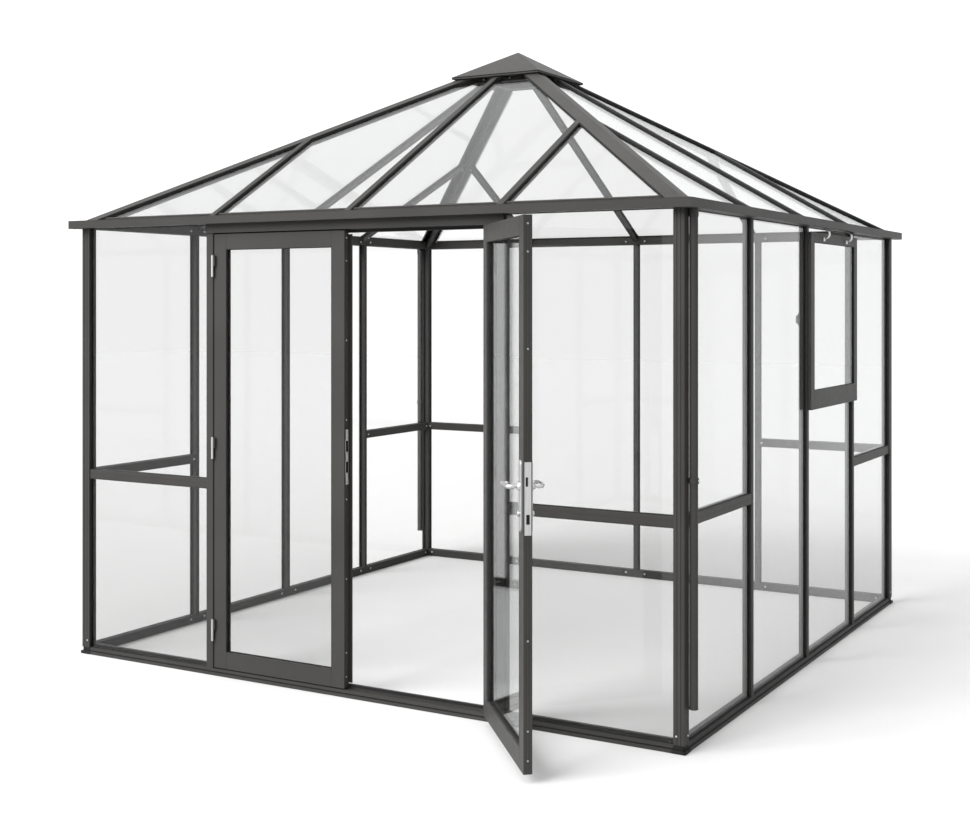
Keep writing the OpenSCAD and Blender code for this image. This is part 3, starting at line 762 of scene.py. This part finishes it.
def pipe_fittings():
    """Outlet sockets at the top, end rings at the foot and clip screws."""
    sockets = Solid()
    screws = Solid()
    r, top, foot = PIPE_R, PIPE_TOP, PIPE_FOOT
    socket = [(r, top - 0.032), (r + 0.0022, top - 0.030), (r + 0.0022, top - 0.002),
              (r + 0.0030, top)]
    ring = [(r - 0.0005, foot - 0.001), (r + 0.0008, foot), (r + 0.0008, foot + 0.008),
            (r - 0.0005, foot + 0.009)]
    clip_t = 0.0033
    clip_z = (low("pipe_clips").z + high("pipe_clips").z) / 2
    for i in (RIGHT, LEFT):
        place = pipe_place(i)
        sockets.turned(place, socket, 32)
        sockets.turned(place, ring, 32)
        turn = Matrix.Rotation(math.pi / 2 if i == RIGHT else -math.pi / 2, 4, "Y")
        head = place @ Matrix.Translation((0, 0, clip_z)) @ turn
        bolt_head(screws, head @ Matrix.Translation((0, 0, r + clip_t)), SMALL_BOLT_R)
    sockets.piece("pipe_sockets", COAT)
    screws.piece("pipe_screws", ZINC)


# --- doorway ------------------------------------------------------------------------

def door_frame_seals():
    """Soft rubber seals round the doorway's stops; their black is also painted shade in the gaps
    round the closed leaves.
    """
    seals = Solid()
    place = on_wall(FRONT)
    seal_r = (STOP_R, STOP_R + 0.0035)
    z0, z1 = THRESHOLD_Z + 0.004, HEADER_Z - 0.013
    for side in SIDES:
        seals.box(mirrored(place, side), (STOP_X + 0.001, STOP_X + 0.010), seal_r, (z0, z1))
    for z in ((z1, z1 + 0.008), (THRESHOLD_Z - 0.009, THRESHOLD_Z - 0.001)):
        seals.box(place, (-STOP_X, STOP_X), seal_r, z)
    seals.piece("door_frame_seals", RUBBER)


def door_frame_crowns():
    """Raised strips on the outer faces of the jambs and the header."""
    crowns = Solid()
    place = on_wall(FRONT)
    half, slant, rise = 0.014, 0.001, 0.0009
    profile = [(-half, 0.0), (-half + slant, rise), (half - slant, rise), (half, 0.0)]
    jamb_mid = (JAMB_X + STOP_X + half) / 2
    header_mid = (HEADER_Z + EAVE_Z) / 2
    for side in SIDES:
        crowns.strip(upright_plane(mirrored(place, side), JAMB_R), (jamb_mid, FLANGE_Z),
                     (jamb_mid, HEADER_Z), profile)
    crowns.strip(upright_plane(place, HEADER_R), (-JAMB_X, header_mid), (JAMB_X, header_mid),
                 profile)
    crowns.piece("door_frame_crowns", COAT)


def door_frame_screws():
    """Screws in the inner faces of the jambs."""
    screws = Solid()
    place = on_wall(FRONT)
    screw_r = 0.0035
    flip = Matrix.Diagonal((-1, 1, 1, 1))
    turn = Matrix.Rotation(math.pi / 2, 4, "Y")
    for side in SIDES:
        inner_face = upright_plane(mirrored(place, side), 0) @ flip
        for z in (0.12, 0.55, 1.02, 1.45, 1.84):
            spot = Matrix.Translation((-STOP_X, z, (STOP_R + PANE_R) / 2))
            bolt_head(screws, inner_face @ spot @ turn, screw_r)
    screws.piece("door_frame_screws", ZINC)


def leaf_opening(side):
    """The glazed opening of a leaf drawn closed, as (x, z) spans."""
    x = (meet_x(side) + STILE_W, LEAF_HINGE_X - STILE_W)
    return x, (LEAF_GLASS_Z0, LEAF_GLASS_Z1)


def leaf_seals(side):
    """Seals round a leaf's pane, on both faces."""
    solid = Solid()
    place = on_leaf(side)
    x, z = leaf_opening(side)
    seal_opening(solid, place, LEAF_PANE_R1, 1, x, z)
    seal_opening(solid, place, LEAF_PANE_R0, -1, x, z)
    solid.piece(leaf_name(side, "seals"), RUBBER, leaf_body(side))


def leaf_beads(side):
    """Fine glazing beads round the pane, on both faces of a leaf."""
    solid = Solid()
    place = on_leaf(side)
    x, z = leaf_opening(side)
    w, step = 0.0035, 0.0008
    corners = [(x[0] - w, z[0] - w), (x[1] + w, z[0] - w), (x[1] + w, z[1] + w),
               (x[0] - w, z[1] + w)]
    for r, out in ((LEAF_R1, 1), (LEAF_R0, -1)):
        plane = upright_plane(place, r)
        profile = [(0.0, 0.0), (0.0005, step * out), (w - 0.0004, step * out), (w, 0.0)]
        for a, b in zip(corners, corners[1:] + corners[:1]):
            solid.strip(plane, a, b, profile)
    solid.piece(leaf_name(side, "beads"), COAT, leaf_body(side))


LINE_HALF = 0.0004
LINE_T = 0.00025


def leaf_joints(side):
    """Hairline joints between the rails and the stiles."""
    solid = Solid()
    place = on_leaf(side)
    bead = 0.004
    faces = ((LEAF_R1, LEAF_R1 + LINE_T), (LEAF_R0 - LINE_T, LEAF_R0))
    for x in leaf_opening(side)[0]:
        for z in ((LEAF_Z0, LEAF_GLASS_Z0 - bead), (LEAF_GLASS_Z1 + bead, LEAF_Z1)):
            for r in faces:
                solid.box(place, (x - LINE_HALF, x + LINE_HALF), r, z)
    solid.piece(leaf_name(side, "joint_lines"), BLACK, leaf_body(side))


def edge_plane(side, x, out):
    """The plane of a leaf's narrow edge: (r from the inner face, z up, height off the edge)."""
    turn = Matrix(((0, 0, out, x), (-1, 0, 0, -LEAF_R0), (0, 1, 0, 0), (0, 0, 0, 1)))
    return on_leaf(side) @ turn


# The closed leaves stand 6 mm apart, so what lies on their free edges is low
EDGE_RIB = 0.0010
EDGE_PLATE_LIFT = 0.0012
EDGE_PLATE_FACE = 0.0024
EDGE_PLATE_HALF = 0.0120
SCREW_SUNK = 0.0016


def leaf_edge(side):
    """Ribs and screws along the free edge of a leaf."""
    ribs = Solid()
    screws = Solid()
    plane = edge_plane(side, meet_x(side), -1)
    foot, slant, end = 0.0004, 0.0010, 0.0010
    for a, b in ((0.0, 0.30), (0.36, 0.64), (0.70, 1.0)):
        rings = [[(a * LEAF_T + foot, z, 0), (b * LEAF_T - foot, z, 0),
                  (b * LEAF_T - slant, z, EDGE_RIB), (a * LEAF_T + slant, z, EDGE_RIB)]
                 for z in (LEAF_Z0 + end, LEAF_Z1 - end)]
        ribs.shell(rings, plane)
    ribs.piece(leaf_name(side, "edge_ribs"), COAT, leaf_body(side))
    inset, pitch = 0.125, 0.328
    heights = [LEAF_Z0 + 0.045, LEAF_Z1 - 0.030, LEAF_Z0 + inset + 0.020]
    heights += [LEAF_Z1 - inset - pitch * k for k in range(5)]
    lock_mid, lock_reach = LEVER_Z - 0.04, 0.20
    for z in heights:
        if side > 0 and abs(z - lock_mid) < lock_reach:
            continue
        spot = Matrix.Translation((LEAF_T / 2, z, EDGE_RIB - SCREW_SUNK))
        bolt_head(screws, plane @ spot, SCREW_R)
    screws.piece(leaf_name(side, "edge_screws"), ZINC, leaf_body(side))


def lock_forend():
    """The mortice lock's face on the right leaf's edge, with its latch and bolt slots."""
    plane = edge_plane(1, meet_x(1), -1) @ Matrix.Translation((LEAF_T / 2, 0, 0))
    plate = Solid()
    z0, z1 = LEVER_Z - 0.162, LEVER_Z + 0.085
    face = EDGE_PLATE_FACE
    plate.slab(plane, (-EDGE_PLATE_HALF, EDGE_PLATE_HALF), (z0, z1), (EDGE_PLATE_LIFT, face))
    plate.piece("lock_forend", STEEL, "right_leaf", bevel=0.0006)
    # The slots are black patches on the forend: painted shade for their hollows.
    slots = Solid()
    for x, z in (((-0.008, 0.000), (LEVER_Z + 0.003, LEVER_Z + 0.034)),
                 ((-0.006, 0.006), (LEVER_Z - 0.125, LEVER_Z - 0.092))):
        slots.slab(plane, x, z, (face - 0.001, face + 0.0003))
    slots.piece("lock_slot_shade", BLACK, "right_leaf")
    latch = Solid()
    root, low_tip, high_tip = face - 0.001, face + 0.0005, face + 0.0020
    rings = [[(0.001, z, root), (0.009, z, root), (0.009, z, low_tip), (0.001, z, high_tip)]
             for z in (LEVER_Z + 0.006, LEVER_Z + 0.031)]
    latch.shell(rings, plane)
    end, sunk = 0.008, 0.0022
    for z in (z0 + end, z1 - end):
        bolt_head(latch, plane @ Matrix.Translation((0, z, face - sunk)), SCREW_R)
    latch.piece("lock_latch", ZINC, "right_leaf")


def strike_plate():
    """The strike plate on the left leaf's edge, with a slot for the latch and the bolt."""
    inward = 0.0015
    plane = edge_plane(-1, meet_x(-1), -1) @ Matrix.Translation((LEAF_T / 2 - inward, 0, 0))
    z0, z1 = LEVER_Z - 0.128, LEVER_Z + 0.099
    bolt_slot = (LEVER_Z - 0.080, LEVER_Z - 0.034)
    latch_slot = (LEVER_Z + 0.006, LEVER_Z + 0.052)
    half, slot_half = EDGE_PLATE_HALF, 0.009
    height = (EDGE_PLATE_LIFT, EDGE_PLATE_FACE)
    plate = Solid()
    for z in ((z0, bolt_slot[0]), (bolt_slot[1], latch_slot[0]), (latch_slot[1], z1)):
        plate.slab(plane, (-half, half), z, height)
    for x in ((-half, -slot_half), (slot_half, half)):
        plate.slab(plane, x, (z0, z1), height)
    plate.piece("strike_plate", STEEL, "left_leaf")
    # Black floors in the plate's slots: painted shade for the hollows behind them.
    slots = Solid()
    for z in (bolt_slot, latch_slot):
        slots.slab(plane, (-slot_half, slot_half), z, (0.0009, EDGE_PLATE_LIFT + 0.0002))
    slots.piece("strike_slot_shade", BLACK, "left_leaf")


def lever_path(length, reach):
    """From the backplate out, along the door and round into a curl at the end."""
    bend_from, bend_r, arch, curl_from, curl_r = 0.55, 0.012, 0.003, 0.86, 0.011
    neck = [(0.0, 0.0, 0.0), (0.0, reach * bend_from, 0.0)]
    bend = [(bend_r * (1 - math.cos(t)), reach * (bend_from + (1 - bend_from) * math.sin(t)), 0.0)
            for t in (math.radians(a) for a in (30, 60, 90))]
    run = [(length * k, reach, arch * math.sin(math.pi * k)) for k in (0.25, 0.45, 0.65, 0.80)]
    curl = [(length * curl_from + curl_r * math.sin(t), reach - curl_r * (1 - math.cos(t)), 0.0)
            for t in (math.radians(a) for a in range(20, 281, 26))]
    return neck + bend + run + curl


def lever_radii(count):
    """Stout at the neck, then thinner to the tip of the curl."""
    radii = [0.0095, 0.0085] + [0.0078] * 3 + [0.0074, 0.0070, 0.0066, 0.0062]
    return radii + [0.0062 - 0.0004 * k for k in range(count - len(radii))]


def lever_handles():
    """Both lever handles of the right leaf, with backplates and lock cylinders."""
    place = on_leaf(1)
    x = RIGHT_MEET_X + STILE_W / 2
    plate_w, plate_t = 0.034, 0.006
    length, reach = 0.118, 0.040
    collar = [(0.0155, plate_t - 0.001), (0.0155, plate_t + 0.002), (0.0120, plate_t + 0.006),
              (0.0100, plate_t + 0.010)]
    z0, z1 = low("right_leaf_handles").z, high("right_leaf_handles").z
    plates = Solid()
    levers = Solid()
    for face, out in ((LEAF_R1, 1), (LEAF_R0, -1)):
        plane = upright_plane(place, face) @ Matrix.Diagonal((1, 1, out, 1))
        backplate(plates, plane, x, z0, z1, plate_w, plate_t)
        path = [(x + along, LEVER_Z + up, plate_t + off)
                for along, off, up in lever_path(length, reach)]
        levers.tube(plane, path, lever_radii(len(path)), 18)
        levers.turned(plane @ Matrix.Translation((x, LEVER_Z, 0)), collar, 28)
        key_cylinder(levers, plane, x, plate_t)
    plates.piece("handle_backplates", STEEL, "right_leaf", replaces=("right_leaf_handles",))
    levers.piece("lever_handles", ZINC, "right_leaf", smooth=True)


def backplate(solid, plane, x, z0, z1, width, thick):
    """A long plate with rounded ends and a soft raised edge."""
    radius = width / 2
    rings = []
    for inset, height in ((0.0, -0.0005), (0.0, thick * 0.7), (0.0020, thick)):
        outline = arc((x, z1 - radius), radius - inset, 0, 180, 12)
        outline += arc((x, z0 + radius), radius - inset, 180, 360, 12)
        rings.append([(px, pz, height) for px, pz in outline])
    solid.shell(rings, plane)


def key_cylinder(solid, plane, x, lift):
    """The lock cylinder below the lever: a round face with a narrower foot."""
    z = LEVER_Z - 0.092
    spot = plane @ Matrix.Translation((x, z, lift - 0.0005))
    solid.turned(spot, [(0.0086, 0.0), (0.0086, 0.007), (0.0078, 0.008)], 24)
    solid.box(spot @ Matrix.Rotation(math.pi / 2, 4, "X"), (-0.0045, 0.0045),
              (-0.0075, 0.0), (0.0, 0.010))


def hinge_barrels():
    """Steel barrels on the hinge knuckles: the lower half stays, the upper half swings."""
    sleeve = KNUCKLE_R + 0.0002
    split = 0.0005
    half = (HINGE_H - split) / 2
    end_r, end_h, step_h = 0.0025, 0.0030, 0.0012
    for side in SIDES:
        axis = Matrix.Translation((side * HINGE_AXIS.x, HINGE_AXIS.y, 0))
        lower, upper = Solid(), Solid()
        for z in HINGE_HEIGHTS:
            lower.turned(axis @ Matrix.Translation((0, 0, z)),
                         [(end_r, -end_h), (sleeve, -step_h), (sleeve, half)], 24)
            upper.turned(axis @ Matrix.Translation((0, 0, z + HINGE_H - half)),
                         [(sleeve, 0.0), (sleeve, half + step_h), (end_r, half + end_h)], 24)
        lower.piece(leaf_name(side, "lower_barrels"), STEEL)
        upper.piece(leaf_name(side, "upper_barrels"), STEEL, leaf_body(side))


# --- window -------------------------------------------------------------------------

def window_trim():
    """Seals and joint lines of the window sash in the right wall."""
    seals = Solid()
    place = on_wall(RIGHT)
    x = (SASH_GLASS[0].y - MID_Y + PANE_LAP, SASH_GLASS[1].y - MID_Y - PANE_LAP)
    z = (SASH_GLASS[0].z + PANE_LAP, SASH_GLASS[1].z - PANE_LAP)
    seal_opening(seals, place, SASH_GLASS[1].x, 1, x, z)
    seal_opening(seals, place, SASH_GLASS[0].x, -1, x, z)
    seal_opening(seals, place, PANE_BACK_R, -1, (BAR_W / 2, BAY - BAR_W / 2),
                 (CILL_Z1, EAVE_Z))
    seals.piece("window_seals", RUBBER)
    lines = Solid()
    for px in x:
        for pz in ((SASH_Z0, z[0]), (z[1], SASH_Z1)):
            lines.box(place, (px - LINE_HALF, px + LINE_HALF), (SASH_R, SASH_R + LINE_T), pz)
    lines.piece("window_joint_lines", BLACK)


def window_brackets():
    """Curved hinge straps from the sash's top rail to the gutter."""
    solid = Solid()
    place = on_wall(RIGHT)
    width, thick = 0.028, 0.003
    bend = 0.0245
    centre = (SASH_R + thick, SASH_Z1 - thick)
    loop = arc(centre, bend, -75, 80, 12) + arc(centre, bend - thick, -75, 80, 12)[::-1]
    leg_z = (SASH_Z1 - 0.036, SASH_Z1 - 0.020)
    for middle in (BAY / 4, BAY * 3 / 4):
        x = (middle - width / 2, middle + width / 2)
        solid.shell([[(end, -r, z) for r, z in loop] for end in x], place)
        solid.box(place, x, (SASH_R, SASH_R + thick), leg_z)
    solid.piece("window_brackets", STEEL, replaces=("window_hinges",))


def window_catch():
    """A rounded turn handle on the inside of the window's bar."""
    solid = Solid()
    place = on_wall(RIGHT)
    z = (low("window_handle").z + high("window_handle").z) / 2
    spot = facing_in(place, 0.0, INNER_R, z)
    reach, radius = 0.018, 0.012
    outline = arc((0, reach), radius, 0, 180, 10) + arc((0, -reach), radius, 180, 360, 10)
    plate = ((1.0, -0.0005), (1.0, 0.004), (0.85, 0.006))
    grip = ((0.62, 0.005), (0.66, 0.009), (0.62, 0.014), (0.45, 0.016))
    for shape in (plate, grip):
        solid.shell([[(px * k, pz * k, h) for px, pz in outline] for k, h in shape], spot)
    solid.piece("window_catch", RUBBER, replaces=("window_handle",))


# --- the room around it --------------------------------------------------------------

def floor():
    """A large pale studio floor with a faint cloud in its colour."""
    size, drop = 60.0, 0.0005
    n = Nodes("studio_floor")
    n.link(n.ramp(n.noise(3.0, 4.0), 0.3, (0.45, 0.45, 0.45), 0.7, (0.46, 0.46, 0.46)),
           n.shader.inputs["Base Color"])
    n.link(n.span(n.noise(40.0), 0.75, 0.9), n.shader.inputs["Roughness"])
    n.shader.inputs["Specular IOR Level"].default_value = 0.1
    mesh = bpy.data.meshes.new("studio_floor")
    obj = bpy.data.objects.new("studio_floor", mesh)
    bm = bmesh.new()
    bmesh.ops.create_grid(bm, x_segments=8, y_segments=8, size=size / 2)
    bm.to_mesh(mesh)
    bm.free()
    obj.location = (0, MID_Y, -drop)
    bpy.context.scene.collection.objects.link(obj)
    mesh.materials.append(n.material)


def world():
    """An even white surround, as bright as the lit floor."""
    scene = bpy.context.scene
    scene.world = scene.world or bpy.data.worlds.new("studio")
    scene.world.use_nodes = True
    back = scene.world.node_tree.nodes["Background"]
    back.inputs["Color"].default_value = (1.0, 1.0, 1.0, 1)
    back.inputs["Strength"].default_value = 1.22
    scene.view_settings.view_transform = "Standard"
    scene.cycles.transparent_max_bounces = 40
    scene.cycles.max_bounces = 8


def sun(name, come_from, strength, softness):
    """A far soft light; come_from points to it, and softness is its width in degrees."""
    data = bpy.data.lights.new(name, "SUN")
    data.energy = strength
    data.angle = math.radians(softness)
    lamp = bpy.data.objects.new(name, data)
    lamp.rotation_euler = Vector(come_from).to_track_quat("Z", "Y").to_euler()
    bpy.context.scene.collection.objects.link(lamp)


def lights():
    """A soft key from the front left and a wide fill from above."""
    sun("key_sun", (-0.55, -1.0, 0.75), strength=5.6, softness=40.0)
    sun("top_sun", (-0.2, -0.2, 1.0), strength=1.6, softness=70.0)


def camera():
    """Eye height, level, from in front and to the right."""
    data = bpy.data.cameras.new("camera")
    data.sensor_width = 36.0
    data.lens = 52.57
    data.shift_y = -0.118
    data.clip_end = 200.0
    cam = bpy.data.objects.new("camera", data)
    cam.location = (3.398, -4.777, 1.624)
    cam.rotation_euler = (math.radians(90), 0.0, math.radians(29.9))
    bpy.context.scene.collection.objects.link(cam)
    bpy.context.scene.camera = cam


# --- making it ------------------------------------------------------------------------

camera()
world()
lights()
floor()
dress_cad_nodes()
for wall in WALLS:
    wall_seals(wall)
    roof_seals(wall)
bar_crowns()
post_skins()
base_trim()
base_corners()
wall_bolts()
gutter_lips()
gutter_corners()
eave_retainers()
rafter_crowns()
roof_bolts()
roof_cap_trim()
pipe_fittings()
door_frame_seals()
door_frame_crowns()
door_frame_screws()
for leaf in SIDES:
    leaf_seals(leaf)
    leaf_beads(leaf)
    leaf_joints(leaf)
    leaf_edge(leaf)
lock_forend()
strike_plate()
lever_handles()
hinge_barrels()
window_trim()
window_brackets()
window_catch()
